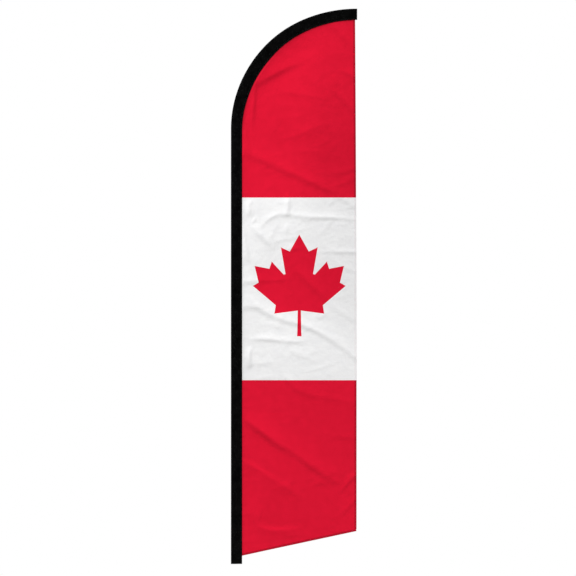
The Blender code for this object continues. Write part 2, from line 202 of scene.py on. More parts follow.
# ---------------------------------------------------------------- the sleeve's outer edge
def edge_at(angle, height):
    """Points (x, z) of the sleeve's outer edge and its unit inward directions. Below angle 0 the edge is the
    straight line x = -r at the given heights. From 0 to pi/2 it is x = c - a cos t, z = h + b sin t, and the
    inward direction is (b cos t, -a sin t) at unit length."""
    turned = np.maximum(angle, 0.0)
    x = CURVE_X - CURVE_REACH * np.cos(turned)
    z = np.where(angle <= 0.0, height, STRAIGHT_HEIGHT + CURVE_RISE * np.sin(turned))
    inward = unit(np.stack([CURVE_RISE * np.cos(turned), -CURVE_REACH * np.sin(turned)], -1))
    return np.stack([x, z], -1) - inward * proud(angle)[..., None], inward


def proud(angle):
    """How far the sleeve's cloth stands outside the line it is drawn on: 1.2 mm, and 5 mm more where the
    bend is rounder than an ellipse, as a bell over the angle, centred on 53 degrees."""
    degrees = np.degrees(np.maximum(angle, 0.0))
    return (1.2 + 5.0 * np.exp(-((degrees - 53.0) / 20.0) ** 2)) * MM


def fuller(degrees):
    """The sleeve is 6 mm wider through the first half of its bend: a flat-topped bell about 28 degrees."""
    return 6.0 * MM * np.exp(-((degrees - 28.0) / 19.0) ** 4)


def sleeve_width(angle):
    """The sleeve seen square on: its even width, what its outer edge stands proud, and its fuller stretch."""
    return SLEEVE_WIDTH + proud(angle) + fuller(np.degrees(np.maximum(angle, 0.0)))


def stations(count, first=SLEEVE_FOOT, end_trim=0.0):
    """Evenly spaced stations up the sleeve, as (angle, height): the edge's length is added up in small
    steps, and the stations are read off at equal shares of it."""
    fine = np.linspace(0.0, math.pi / 2, 4001)
    curve, _ = edge_at(fine, np.zeros_like(fine))
    length = np.concatenate([[0.0], np.cumsum(np.linalg.norm(np.diff(curve, axis=0), axis=1))])
    straight = STRAIGHT_HEIGHT - first
    along = np.linspace(0.0, straight + length[-1] - end_trim, count)
    angle = np.interp(along - straight, length, fine)
    height = np.minimum(first + along, STRAIGHT_HEIGHT)
    return angle, height, along


def fold_radius(angle):
    """The round fold narrows evenly with the angle from the pole's foot to its tip."""
    return FOLD_RADIUS + (FOLD_TIP_RADIUS - FOLD_RADIUS) * np.maximum(angle, 0.0) / (math.pi / 2)


def placed(angle, height, offset, out):
    """Points at an offset inwards from the outer edge and a distance out of the cloth's plane. For a grid,
    the angle and the height are columns and the offset and the distance are the grid's."""
    edge, inward = edge_at(angle, height)
    x = edge[..., 0] + inward[..., 0] * offset
    z = edge[..., 1] + inward[..., 1] * offset
    return np.stack([x, out + np.zeros_like(x), z], -1)


seam_angles = np.linspace(0.0, math.pi / 2, 2001)


def seam_height(x, inset):
    """Height of the line this far inside the sleeve's own seam edge, where it passes over x."""
    line = placed(seam_angles, seam_angles, sleeve_width(seam_angles) - inset, 0.0)
    return np.interp(x, line[:, 0], line[:, 2])


# ---------------------------------------------------------------- how the cloth hangs
def seam_distance(x, z):
    """Roughly how far a point of the cloth lies from the sleeve's seam: one minus its distance from the
    ellipse's centre, in half-axes of the seam's own ellipse, times the width of that ellipse, less the
    sleeve's fuller stretch."""
    across = CURVE_REACH - SLEEVE_WIDTH
    up = CURVE_RISE - SLEEVE_WIDTH
    aside = (CURVE_X - x) / across
    above = np.maximum(z - STRAIGHT_HEIGHT, 0.0) / up
    turned = np.degrees(np.arctan2(above, np.maximum(aside, 1e-6)))
    return np.maximum((1.0 - np.hypot(aside, above)) * across - fuller(turned), 0.0)


def seam_show_through_and_painted_shadow(x, z):
    """How much darker the print is painted beside the seam: partly the black seam allowance showing through
    from behind it, partly painted shadow where the sleeve overhangs it. It dies out as exp(-d / 7.5 mm), and
    is stronger round the bend."""
    bend = smooth_step((z - 2.70) / 0.08)
    return (0.25 + 0.35 * bend) * np.exp(-seam_distance(x, z) / (7.5 * MM))


def billow(x, z):
    """The slow waves of the hanging cloth: three sines up its height, a swell towards -Y in its upper right
    corner and a turning back in its lower right one, held flat along the seam, and a falling back under the
    bend as 1 - exp(-d / 70 mm), which fades out to the right and downwards."""
    away = seam_distance(x, z)
    long = (10.4 * MM * np.sin(2 * math.pi * (z - 1.2) / 2.17)
            - 5.9 * MM * np.sin(2 * math.pi * (z - 0.5) / 3.1))
    quick = 4.0 * MM * np.sin(2 * math.pi * z / 0.83 + 2.6 * away / CURVE_REACH + 0.4)
    under_bend = smooth_step((z - 1.8) / 0.9) * (1.0 - smooth_step((x - 0.25) / 0.3))
    fall = 15.0 * MM * (1.0 - np.exp(-away / 0.07)) * under_bend
    swell = 11.0 * MM * smooth_step((z - 2.2) / 0.9) * smooth_step((x - 0.3) / 0.3)
    turn = 10.0 * MM * smooth_step((0.85 - z) / 0.6) * smooth_step((x - 0.2) / 0.55)
    return smooth_step(away / 0.22) * (long + quick - swell + turn + 1.5 * MM) + fall


# Creases left from folding and packing. Each is a line of (x, z, height) points in mm along the middle of
# its steep flank, then how wide its broad side and its steep side are in mm. The broad side is on the left
# of the line's own direction, so the steep flank faces down on a line to +X, and up on one to -X.
CREASES = [
    # upper red field
    ([(125, 3005, 4), (205, 3045, 7), (290, 3092, 8), (370, 3130, 5), (455, 3150, 0)], 90, 26),
    ([(127, 2745, 0), (129, 2820, 5), (134, 2900, 6.2), (140, 2975, 5.4), (143, 3015, 0)], 30, 14),
    ([(112, 2585, 0), (96, 2650, 2.6), (84, 2730, 2.2), (77, 2800, 0)], 22, 14),
    ([(92, 2780, 0), (104, 2700, 1.6), (128, 2610, 0)], 26, 14),
    ([(54, 2582, 5), (156, 2546, 5.8), (232, 2507, 6.4), (305, 2474, 5.4), (390, 2438, 5), (475, 2398, 4.9),
      (560, 2358, 4.6), (650, 2326, 1.5), (700, 2305, 0)], 46, 23),
    ([(180, 2664, 0), (290, 2666, 0.8), (390, 2684, 1.8), (470, 2719, 2.4), (540, 2752, 1.6),
      (650, 2764, 0)], 28, 20),
    ([(500, 2446, 0), (600, 2448, 0.9), (690, 2458, 1.3), (772, 2482, 2)], 28, 18),
    ([(640, 2366, 0), (700, 2386, 1.2), (772, 2420, 1.2)], 24, 18),
    ([(600, 3420, 0.8), (640, 3370, 3.6), (690, 3312, 4.6), (752, 3230, 2.6)], 40, 22),
    ([(560, 3040, 0), (640, 2965, 4.2), (705, 2890, 5.2), (760, 2835, 3.8)], 36, 22),
    ([(660, 3108, 0), (715, 3084, 3.4), (770, 3052, 3.4)], 26, 18),
    ([(660, 2995, 0), (656, 3045, 3.6), (628, 3095, 0)], 24, 18),
    ([(285, 2968, 0), (370, 2958, 2.2), (460, 2942, 1.4), (560, 2924, 1.2), (620, 2926, 0)], 30, 20),
    ([(430, 2832, 0), (370, 2826, 1.3), (285, 2818, 0)], 26, 16),
    ([(588, 2530, 0), (584, 2620, 1.5), (570, 2700, 0)], 26, 18),
    ([(548, 2545, 0), (545, 2600, 1.1), (535, 2660, 0)], 20, 16),
    # white field
    ([(150, 2098, 0), (200, 2145, 1.8), (250, 2184, 3.6), (303, 2196, 2), (355, 2192, 0.8), (420, 2184, 1.6),
      (480, 2177, 3.2), (550, 2174, 4), (620, 2174, 3.2), (700, 2168, 1.6), (772, 2158, 1.2)], 19, 14),
    ([(351, 2185, 0), (350, 2216, 4.6), (351, 2260, 5.6), (354, 2306, 3)], 20, 14),
    ([(88, 2150, 0), (124, 2108, 3.6), (163, 2064, 5.6), (212, 2018, 4.6), (270, 1968, 0)], 16, 17),
    ([(190, 2105, 0), (238, 2050, 3.8), (280, 2000, 0)], 14, 14),
    ([(104, 1900, 0), (92, 1960, 5.4), (76, 2040, 4.6), (62, 2130, 1.7)], 22, 13),
    ([(113, 2185, 0), (108, 2215, 6.4), (106, 2250, 4.8), (112, 2285, 0)], 22, 16),
    ([(128, 2140, 0), (136, 2160, 4.4), (130, 2185, 0)], 16, 13),
    ([(545, 1962, 0), (600, 1960, 1.5), (670, 1957, 2.2), (772, 1955, 2.4)], 17, 13),
    ([(640, 2312, 0.4), (690, 2286, 2.2), (772, 2240, 2)], 30, 16),
    ([(60, 1680, 0.8), (100, 1646, 3), (170, 1588, 4.6), (255, 1546, 4.6), (310, 1524, 4.2), (385, 1507, 4.2),
      (450, 1487, 5), (535, 1449, 5.4), (620, 1396, 4.4), (685, 1354, 3.4), (772, 1280, 3.6)], 32, 17),
    ([(95, 1404, 0), (140, 1407, 3.2), (220, 1403, 3), (320, 1395, 3), (400, 1387, 2.4),
      (460, 1386, 0)], 16, 15),
    ([(118, 1232, 0), (108, 1270, 7.6), (104, 1320, 7), (116, 1368, 0)], 18, 14),
    ([(355, 1326, 0), (400, 1308, 2.2), (482, 1280, 1.8), (550, 1245, 0)], 18, 15),
    ([(54, 1766, 2.6), (90, 1769, 2.9), (150, 1775, 2.2), (260, 1778, 1.9), (380, 1782, 0)], 20, 14),
    ([(54, 1612, 4), (100, 1610, 3.8), (170, 1604, 1.6), (210, 1602, 0)], 22, 15),
    ([(375, 1855, 0), (425, 1805, 4.4), (485, 1742, 5), (540, 1680, 2.6), (575, 1640, 0)], 30, 18),
    ([(560, 1650, 0), (630, 1608, 1.6), (705, 1555, 2), (772, 1520, 1.2)], 26, 16),
    ([(115, 1252, 0), (175, 1252, 2.4), (270, 1254, 0)], 22, 15),
    ([(640, 1900, 0), (700, 1858, 1.2), (756, 1836, 0.8)], 20, 14),
    ([(335, 2060, 0), (345, 2105, 3.4), (338, 2150, 0)], 20, 16),
    # lower red field
    ([(335, 1150, 3), (370, 1104, 4), (420, 1070, 2.6), (500, 1046, 1.6), (600, 1031, 1.4), (690, 1018, 1.2),
      (772, 1004, 0.6)], 32, 20),
    ([(60, 900, 2.4), (105, 868, 8), (156, 829, 10.2), (209, 787, 11.8), (270, 738, 9.4), (345, 702, 5.2),
      (419, 654, 6.8), (472, 610, 8.4), (540, 565, 6.6), (608, 514, 5.4), (690, 484, 0)], 60, 25),
    ([(385, 455, 0), (340, 487, 2), (290, 517, 3.2), (230, 556, 3.6), (156, 600, 3.6), (100, 634, 3),
      (54, 656, 1.4)], 40, 18),
    ([(290, 505, 0), (340, 462, 2.2), (390, 418, 1.8), (430, 378, 0)], 24, 18),
    ([(62, 640, 0), (110, 606, 1.8), (170, 570, 0)], 18, 14),
    ([(500, 492, 0), (540, 497, 2.8), (590, 500, 0)], 24, 16),
    ([(668, 430, 0), (698, 470, 3.2), (768, 545, 3.4)], 20, 13),
    ([(680, 290, 0), (708, 324, 2), (768, 390, 2.6)], 20, 13),
    ([(440, 232, 0), (366, 222, 2.5), (293, 213, 3.8), (220, 219, 4.1), (172, 236, 3.2), (160, 272, 2.9),
      (174, 318, 2.2), (196, 360, 0)], 44, 18),
    ([(142, 240, 0), (138, 290, 2.6), (128, 350, 2.8), (106, 412, 1.8), (84, 460, 0)], 26, 16),
    ([(130, 986, 0), (260, 968, 1), (400, 978, 0)], 26, 18),
    ([(480, 840, 0), (600, 800, 1), (752, 782, 0.8)], 26, 18),
]


def crease_line(points, count=48):
    """A smooth line through a crease's points, in metres: quadratic B-spline weights over the points,
    doubled at the ends, so that it starts and ends on them."""
    points = np.asarray(points, float) * MM
    start, end = points[0], points[-1]
    held = np.concatenate([[start], (points[:-1] + points[1:]) / 2, [end]])
    line = []
    steps = np.linspace(0.0, 1.0, max(count // len(points), 6), endpoint=False)[:, None]
    for index in range(len(points)):
        before, corner, after = held[index], points[index], held[index + 1]
        line.append((1 - steps) ** 2 * before + 2 * steps * (1 - steps) * corner + steps ** 2 * after)
    return np.concatenate([*line, [end]])


def crease(x, z, points, broad, steep):
    """How far a crease lifts the cloth at (x, z): its height at the nearest point of its line, times a fall
    from its crest, which lies 0.7 of the steep width to the left of the line. The fall is
    exp(-(d/broad)^1.4) on the broad side and exp(-(d/steep)^2) on the steep side."""
    line = crease_line(points)
    start, step = line[:-1, :2], np.diff(line[:, :2], axis=0)
    reach = 3.2 * broad * MM
    near = ((x > line[:, 0].min() - reach) & (x < line[:, 0].max() + reach)
            & (z > line[:, 1].min() - reach) & (z < line[:, 1].max() + reach))
    place = np.stack([x[near], z[near]], -1)
    from_start = place[:, None, :] - start[None]
    share = np.clip((from_start * step).sum(-1) / (step * step).sum(-1), 0.0, 1.0)
    away = from_start - share[..., None] * step
    distance = np.linalg.norm(away, axis=-1)
    nearest = distance.argmin(axis=1)
    pick = (np.arange(len(nearest)), nearest)
    side = np.sign(step[nearest, 0] * away[pick][:, 1] - step[nearest, 1] * away[pick][:, 0])
    height = line[:-1, 2][nearest] + share[pick] * np.diff(line[:, 2])[nearest]
    from_crest = side * distance[pick] - 0.7 * steep * MM
    fall = np.where(from_crest >= 0.0, np.exp(-np.abs(from_crest / (broad * MM)) ** 1.4),
                    np.exp(-(from_crest / (steep * MM)) ** 2))
    lift = np.zeros_like(x)
    lift[near] = height * fall
    return lift


def small_creases(count):
    """Faint creases all over, each a short, slightly bowed line at a random place and slant, in mm as above.
    They are higher in the white field, whose cloth holds no dye."""
    made = []
    for _ in range(count):
        x, z = random.uniform(60, 750), random.uniform(120, 3380)
        slant = random.normal(0.0, 0.55) if random.random() < 0.75 else random.uniform(-1.6, 1.6)
        half = random.uniform(30, 120)
        bow = random.uniform(-0.25, 0.25) * half
        along = np.array([math.cos(slant), math.sin(slant)]) * half
        side = np.array([-along[1], along[0]]) / half * bow
        middle = np.array([x, z])
        height = random.uniform(0.3, 0.9) * (2.0 if WHITE_LOW < z * MM < WHITE_HIGH else 1.1)
        ends = [middle - along, middle + side, middle + along]
        made.append(([(*ends[0], 0.0), (*ends[1], height), (*ends[2], 0.0)],
                     random.uniform(14, 26), random.uniform(10, 14)))
    return made


def puckers(x, z):
    """Gathers where the cloth is sewn to the sleeve: three sines along the seam, dying out over 25 mm."""
    away = seam_distance(x, z)
    along = np.where(z < STRAIGHT_HEIGHT, z,
                     STRAIGHT_HEIGHT + np.arctan2(z - STRAIGHT_HEIGHT, CURVE_X - x) * 0.72)
    wave = np.sin(2 * math.pi * along / 0.061) + 0.7 * np.sin(2 * math.pi * along / 0.043 + 1.1)
    wave = wave + 0.5 * np.sin(2 * math.pi * along / 0.137 + 0.4)
    return 0.45 * MM * wave * np.exp(-away / 0.025) * smooth_step(away / 0.006)


ALL_CREASES = CREASES + small_creases(230)


def hang(x, z):
    """Where the cloth hangs in Y: its slow waves, less its creases and puckers, which stand towards -Y and
    die out over the last 12 mm to the seam."""
    shape = x.shape
    x, z = x.ravel(), z.ravel()
    lift = sum((crease(x, z, *one) for one in ALL_CREASES), np.zeros_like(x))
    held = smooth_step(seam_distance(x, z) / 0.012)
    y = billow(x, z) - (lift + puckers(x, z)) * held
    return y.reshape(shape)


def foot_edge(x):
    """Height of the flag's slanted foot edge."""
    return FOOT_AT_SEAM + (FOOT_AT_FLY - FOOT_AT_SEAM) * (x - SEAM_X) / (FLY_FOOT_X - SEAM_X)


def lean(down):
    """How much of its lean the free edge has, for a share of the way down from its top: a sine that is whole
    by 0.72 of the way."""
    return np.sin(math.pi / 2 * np.clip(down / 0.72, 0.0, 1.0))


def fly_edge(z):
    """X of the free edge, which leans out a little towards the foot."""
    return FLY_TOP_X + (FLY_FOOT_X - FLY_TOP_X) * lean((fly_high.z - z) / (fly_high.z - FOOT_AT_FLY))


# ---------------------------------------------------------------- sewn pieces
def panel_grid(columns, rows):
    """The printed cloth as (x, z): columns closer together near the sleeve, as a share to the power 1.2 of
    its width, each from the foot hem up to the seam in even steps, and leaning out as the free edge does."""
    start = SEAM_X - TUCK
    end = FLY_TOP_X - 2 * MM
    share = np.linspace(0.0, 1.0, columns) ** 1.2
    up = np.linspace(0.0, 1.0, rows)[:, None]
    x_top = start + (end - start) * share[None, :]
    top = seam_height(x_top, TUCK)
    widening = (FLY_FOOT_X - FLY_TOP_X) / (FLY_TOP_X - SEAM_X)
    x = x_top + np.maximum(x_top - SEAM_X, 0.0) * widening * lean(1.0 - up)
    bottom = foot_edge(x) + 2 * MM
    z = bottom + (top - bottom) * up
    return x, z


def flag_cloth(look):
    """The printed cloth: its grid of (x, z), with the hanging shape as y, and the area of its flat cells."""
    x, z = panel_grid(86, 540)
    grid = np.stack([x, hang(x, z), z], -1)
    # the cloth carries painted shadow beside the seam, with the seam allowance's show-through, as a point
    # attribute
    made = cloth_object("flag_cloth", grid, CLOTH, look, seam_show_through_and_painted_shadow(x, z))
    area = float(np.abs(np.diff(x, axis=1)[:-1] * np.diff(z, axis=0)[:, :-1]).sum())
    return made, area


def folded_strip(name, middle, inward, out, width, half_gap, thickness, look):
    """A strip of cloth folded round an edge: its section runs from the front layer's free edge, round the
    fold, to the back layer's. middle is the line of the fold, inward and out the unit directions across the
    cloth and out of it, and width how far each layer reaches in from the fold."""
    bend = np.linspace(-math.pi / 2, math.pi / 2, 7)
    flat = np.linspace(1.0, 0.0, 4)[:-1]
    reach = width - half_gap
    across = np.concatenate([flat * reach, -half_gap * np.cos(bend), flat[::-1] * reach])
    level = np.concatenate([np.full(3, 1.0), -np.sin(bend), np.full(3, -1.0)]) * half_gap
    across = across + half_gap
    grid = (middle[:, None, :] + inward[:, None, :] * across[None, :, None]
            + out[:, None, :] * level[None, :, None])
    # the hems carry the same painted shadow beside the seam, with the seam allowance's show-through
    return cloth_object(name, grid, thickness, look, seam_show_through_and_painted_shadow(grid[..., 0], grid[..., 2]))


def hem(name, x, z, hold, across, look):
    """A hem along the line (x, z) of the cloth's edge, and its rows of stitches as (line, out) pairs: a
    folded strip that lies as the cloth does at hold, a step (x, z) in from the edge. across is the direction
    (x, z) in from the edge, turned into the cloth's own slope there. The rows run on both faces."""
    held_x, held_z = x + hold[0], z + hold[1]
    step = 4 * MM
    slope_x = (hang(held_x + step, held_z) - hang(held_x - step, held_z)) / (2 * step)
    slope_z = (hang(held_x, held_z + step) - hang(held_x, held_z - step)) / (2 * step)
    out = unit(np.stack([slope_x, -np.ones_like(x), slope_z], -1))
    inward = np.tile([across[0], 0.0, across[1]], (len(x), 1))
    inward = unit(inward - out * (inward * out).sum(-1, keepdims=True))
    middle = np.stack([x, hang(held_x, held_z), z], -1)
    strip = folded_strip(name, middle, inward, out, HEM_WIDTH, HEM_FOLD, HEM_CLOTH, look)
    face = HEM_FOLD + HEM_CLOTH / 2
    rows = [(middle + inward * inset + out * face * side, out * side)
            for inset in HEM_ROWS for side in (1.0, -1.0)]
    return strip, rows


def fly_hem(look):
    """The free edge's hem."""
    z = np.linspace(foot_edge(FLY_FOOT_X) + HEM_WIDTH - 1 * MM, seam_height(FLY_TOP_X, 0.0) + 1 * MM, 520)
    return hem("flag_fly_hem", fly_edge(z), z, (-HEM_HOLD, 0.0), (-1.0, 0.0), look)


def foot_hem(look):
    """The slanted foot edge's hem."""
    x = np.linspace(SEAM_X - 1 * MM, FLY_FOOT_X, 130)
    up = unit(np.array([FOOT_AT_SEAM - FOOT_AT_FLY, FLY_FOOT_X - SEAM_X]))
    return hem("flag_foot_hem", x, foot_edge(x), (0.0, HEM_HOLD), up, look)


def teardrop(angle, wall=0.0, count=19, flat=7):
    """The sleeve's section at each station, as offsets inwards and distances out: from the front layer's
    edge at the seam straight to the round fold, round it, and straight back to the back layer's edge. The
    straight leaves the seam at the slope that just touches the round. wall takes that much off the round."""
    radius = fold_radius(angle)[:, None]
    width = sleeve_width(angle)[:, None]
    reach = width - radius
    distance = np.hypot(reach, SEAM_GAP)
    turn = np.arctan2(SEAM_GAP, reach) + np.arccos((radius - SLEEVE_CLOTH / 2) / distance)
    share = np.linspace(0.0, 1.0, count)[None, :]
    around = turn + (2 * math.pi - 2 * turn) * share
    round_u = radius + (radius - SLEEVE_CLOTH / 2 - wall) * np.cos(around)
    round_y = (radius - SLEEVE_CLOTH / 2 - wall) * np.sin(around)
    step = np.linspace(0.0, 1.0, flat)[None, :-1]
    front_u = width + (round_u[:, :1] - width) * step
    front_y = SEAM_GAP + (round_y[:, :1] - SEAM_GAP) * step
    return (np.concatenate([front_u, round_u, front_u[:, ::-1]], 1),
            np.concatenate([front_y, round_y, -front_y[:, ::-1]], 1))


def sleeve_cloth(look):
    """The sleeve: its section carried up the outer edge, pinched flat over its last 7 mm as a quarter
    circle. Its slack sides wave by three sines along the length, and it gathers a little at the seam."""
    angle, height, along = stations(620)
    offset, out = teardrop(angle)
    left = np.clip((along[-1] - along) / (7 * MM), 0.0, 1.0)
    closing = np.sqrt(np.maximum(1.0 - (1.0 - left) ** 2, 0.0))
    pinched = np.sign(out) * np.minimum(np.abs(out), SEAM_GAP)
    out = pinched + (out - pinched) * closing[:, None]
    slack = smooth_step((np.abs(out) - 2.5 * MM) / (6 * MM)) * smooth_step((offset - 14 * MM) / (14 * MM))
    wave = (0.5 * np.sin(2 * math.pi * along / 0.23 + 0.5) + 0.35 * np.sin(2 * math.pi * along / 0.097 + 1.7)
            + 0.2 * np.sin(2 * math.pi * along / 0.051))[:, None]
    flutter = wave * np.where(out > 0, 1.0, -0.8) * 1.1 * MM * slack * closing[:, None]
    from_seam = sleeve_width(angle)[:, None] - offset
    seam = 0.35 * MM * np.exp(-from_seam / 0.012) * np.sin(2 * math.pi * along / 0.043 + 1.1)[:, None]
    shift = flutter + seam * closing[:, None]
    grid = placed(angle[:, None], height[:, None], offset, -(out + shift))
    return cloth_object("sleeve_cloth", grid, SLEEVE_CLOTH, look)


def sleeve_turn(look):
    """The sleeve's foot is turned in and stitched: a short second layer inside it."""
    angle = np.zeros(6)
    height = np.linspace(SLEEVE_FOOT + 0.2 * MM, SLEEVE_FOOT + TURN_HEIGHT, 6)
    offset, out = teardrop(angle, wall=0.9 * MM)
    keep = slice(2, -2)
    offset, out = offset[:, keep], out[:, keep]
    out = np.sign(out) * np.maximum(np.abs(out) - 0.5 * MM, 0.2 * MM)
    grid = placed(angle[:, None], height[:, None], offset, -out)
    return cloth_object("sleeve_foot_turn", grid, TURN_CLOTH, look)


def strap_webbing(look):
    """The hold-down strap: webbing round the lower tube, whose two ends run side by side to the seam."""
    radius = strap_high.y - 0.5 * MM
    end = strap_high.x
    turn = math.asin(1.1 * MM / radius)
    angle = np.linspace(turn, 2 * math.pi - turn, 61)
    ring = np.stack([radius * np.cos(angle), radius * np.sin(angle)], -1)
    tail = np.linspace(end, ring[0, 0], 12)[:-1]
    line = np.concatenate([np.stack([tail, np.full(11, 0.6 * MM)], -1), ring,
                           np.stack([tail[::-1], np.full(11, -0.6 * MM)], -1)])
    line[11, 1], line[-12, 1] = 1.1 * MM, -1.1 * MM
    height = np.linspace(strap_low.z, strap_high.z, 9)
    grid = np.concatenate([np.repeat(line[None], len(height), 0),
                           np.repeat(height[:, None, None], len(line), 1)], -1)
    return cloth_object("strap_webbing", grid, WEBBING, look)


def tip_webbing(look):
    """The pocket in the sleeve's tip: a webbing sock round the rod's cap. Its section is a circle that
    narrows to its closed end as a quarter ellipse does."""
    count, around = 40, 24
    angle, _, along = stations(4000)
    total = along[-1]
    pick = np.searchsorted(along, np.linspace(total - POCKET[0], total - POCKET[1], count))
    angle = angle[pick]
    radius = fold_radius(angle) - 2.4 * MM
    left = np.clip((total - 7.6 * MM - along[pick]) / (9 * MM), 0.0, 1.0)
    radius = radius * np.sqrt(1.0 - (1.0 - left) ** 2) + 0.3 * MM
    turn = np.linspace(0.0, 2 * math.pi, around, endpoint=False)
    offset = (proud(angle) + fold_radius(angle))[:, None] + radius[:, None] * np.cos(turn)
    out = radius[:, None] * np.sin(turn)
    outer = placed(angle[:, None], angle[:, None], offset, out)
    inner_share = 1.0 - WEBBING / np.maximum(radius, 1.2 * MM)
    centre = outer.mean(axis=1, keepdims=True)
    inner = centre + (outer - centre) * inner_share[:, None, None]
    points = np.concatenate([outer[:-1].reshape(-1, 3), outer[-1:].mean(axis=1),
                             inner[:-3].reshape(-1, 3), inner[-3:-2].mean(axis=1)])
    count_out, count_in = count - 1, count - 3
    first_in = count_out * around + 1
    ring = np.arange(around)
    after = np.roll(ring, -1)

    def cap(start, pole, flip):
        faces = np.stack([ring + start, after + start, np.full(around, pole)], -1)
        return faces[:, [1, 0, 2]] if flip else faces

    outer_faces = grid_faces(count_out, around, 0, closed=True)
    inner_faces = grid_faces(count_in, around, first_in, closed=True, flip=True)
    mouth = np.stack([ring, ring + first_in, after + first_in, after], -1)
    caps = np.concatenate([cap((count_out - 1) * around, count_out * around, False),
                           cap(first_in + (count_in - 1) * around, first_in + count_in * around, True)])
    quads = np.concatenate([outer_faces, inner_faces, mouth])
    triangles = np.concatenate([quads[:, [0, 1, 2]], quads[:, [0, 2, 3]], caps])
    return mesh_object("tip_webbing", points, triangles, look)


def stitches(line, out, pitch, length, radius):
    """A row of stitches along a line, as points and triangles. Each is a little lens of thread, six-sided,
    pointed at both ends, half sunk in the cloth. out is the unit direction out of the cloth along it."""
    def read(field, distance):
        return np.stack([np.interp(distance, along, field[:, axis]) for axis in range(3)], -1)

    steps = np.linalg.norm(np.diff(line, axis=0), axis=1)
    along = np.concatenate([[0.0], np.cumsum(steps)])
    centres = np.arange(pitch / 2, along[-1], pitch)
    place = read(line, centres)
    lift = unit(read(out, centres))
    direction = unit(read(line, centres + length / 2) - read(line, centres - length / 2))
    side = unit(np.cross(direction, lift))
    turn = np.linspace(0.0, 2 * math.pi, 6, endpoint=False)
    ring = (side[:, None, :] * np.cos(turn)[None, :, None]
            + lift[:, None, :] * np.sin(turn)[None, :, None]) * radius
    middle = place[:, None, :]
    half = direction[:, None, :] * length * 0.28
    tips = direction[:, None, :] * length / 2
    shape = np.concatenate([middle - tips, middle - half + ring, middle + half + ring, middle + tips], 1)
    near, far = 1 + np.arange(6), 7 + np.arange(6)
    near_next, far_next = np.roll(near, -1), np.roll(far, -1)
    first, last = np.zeros(6, int), np.full(6, 13)
    one = np.concatenate([
        np.stack([first, near_next, near], -1), np.stack([near, near_next, far_next], -1),
        np.stack([near, far_next, far], -1), np.stack([far, far_next, last], -1),
    ])
    faces = (one[None] + 14 * np.arange(len(place))[:, None, None]).reshape(-1, 3)
    return shape.reshape(-1, 3), faces


def stitch_object(name, rows, pitch, length, radius, look):
    """Several rows of stitches in one object. rows holds (line, out) pairs."""
    points, faces, start = [], [], 0
    for line, out in rows:
        made, joined = stitches(line, out, pitch, length, radius)
        points.append(made)
        faces.append(joined + start)
        start += len(made)
    return mesh_object(name, np.concatenate(points), np.concatenate(faces), look)


def seam_rows():
    """Two rows of stitches beside the sleeve's seam, on its front and on its back. Its layers rise from the
    seam at the slope between the section's first point and its seventh."""
    angle, height, _ = stations(900, SLEEVE_FOOT + 2 * MM, 3 * MM)
    offset, out = teardrop(angle)
    slope = (out[:, 6] - out[:, 0]) / (offset[:, 0] - offset[:, 6])
    rows = []
    for inset in SEAM_ROWS:
        level = SEAM_GAP + slope * inset + SLEEVE_CLOTH / 2
        for side in (1.0, -1.0):
            line = placed(angle, height, sleeve_width(angle) - inset, -side * level)
            rows.append((line, np.tile([0.0, -side, 0.0], (len(line), 1))))
    return rows


# ---------------------------------------------------------------- materials
def linear(code):
    """An sRGB hex colour as linear red, green and blue, with an alpha of 1."""
    parts = [int(code[index:index + 2], 16) / 255 for index in (1, 3, 5)]
    return (*(part / 12.92 if part <= 0.04045 else ((part + 0.055) / 1.055) ** 2.4 for part in parts), 1.0)


def node(tree, kind, inputs=(), output=0, **settings):
    """Adds a node, gives it its settings, sets each of its inputs to a value or links it to a socket, and
    returns one of its outputs. Inputs are named, or given in order from the first."""
    made = tree.nodes.new("ShaderNode" + kind)
    for name, value in settings.items():
        setattr(made, name, value)
    for name, value in inputs.items() if isinstance(inputs, dict) else enumerate(inputs):
        if isinstance(value, bpy.types.NodeSocket):
            tree.links.new(value, made.inputs[name])
        else:
            made.inputs[name].default_value = value
    return made.outputs[output] if made.outputs else made


def material(name, finish):
    """A material whose surface is one Principled shader. finish(tree, place) gives the shader's inputs, from
    the object's own coordinates."""
    made = bpy.data.materials.new(name)
    made.use_nodes = True
    tree = made.node_tree
    tree.nodes.clear()
    place = node(tree, "TexCoord", output="Object")
    shader = node(tree, "BsdfPrincipled", finish(tree, place))
    node(tree, "OutputMaterial", {"Surface": shader})
    return made


def weave(tree, place, thread):
    """The threads of a plain weave: a sine across X times a sine across Z, each one thread wide."""
    turn = 2 * math.pi / thread
    waves = []
    for axis in ("X", "Z"):
        along = node(tree, "SeparateXYZ", (place,), axis)
        turned = node(tree, "Math", (along, turn), operation="MULTIPLY")
        waves.append(node(tree, "Math", (turned,), operation="SINE"))
    return node(tree, "Math", waves, operation="MULTIPLY")


# Half the leaf's outline, from its upper tip to its stem's foot, in millimetres right of the centreline and
# above the point that every edge can be seen from.
LEAF_MIDDLE = 390 * MM
LEAF_HALF = [(0, 390), (60, 283), (116, 309), (87, 141), (99, 138), (174, 219), (189, 174), (282, 192),
             (257, 87), (293, 66), (149, -56), (157, -109), (10, -90), (13, -252), (0, -252)]


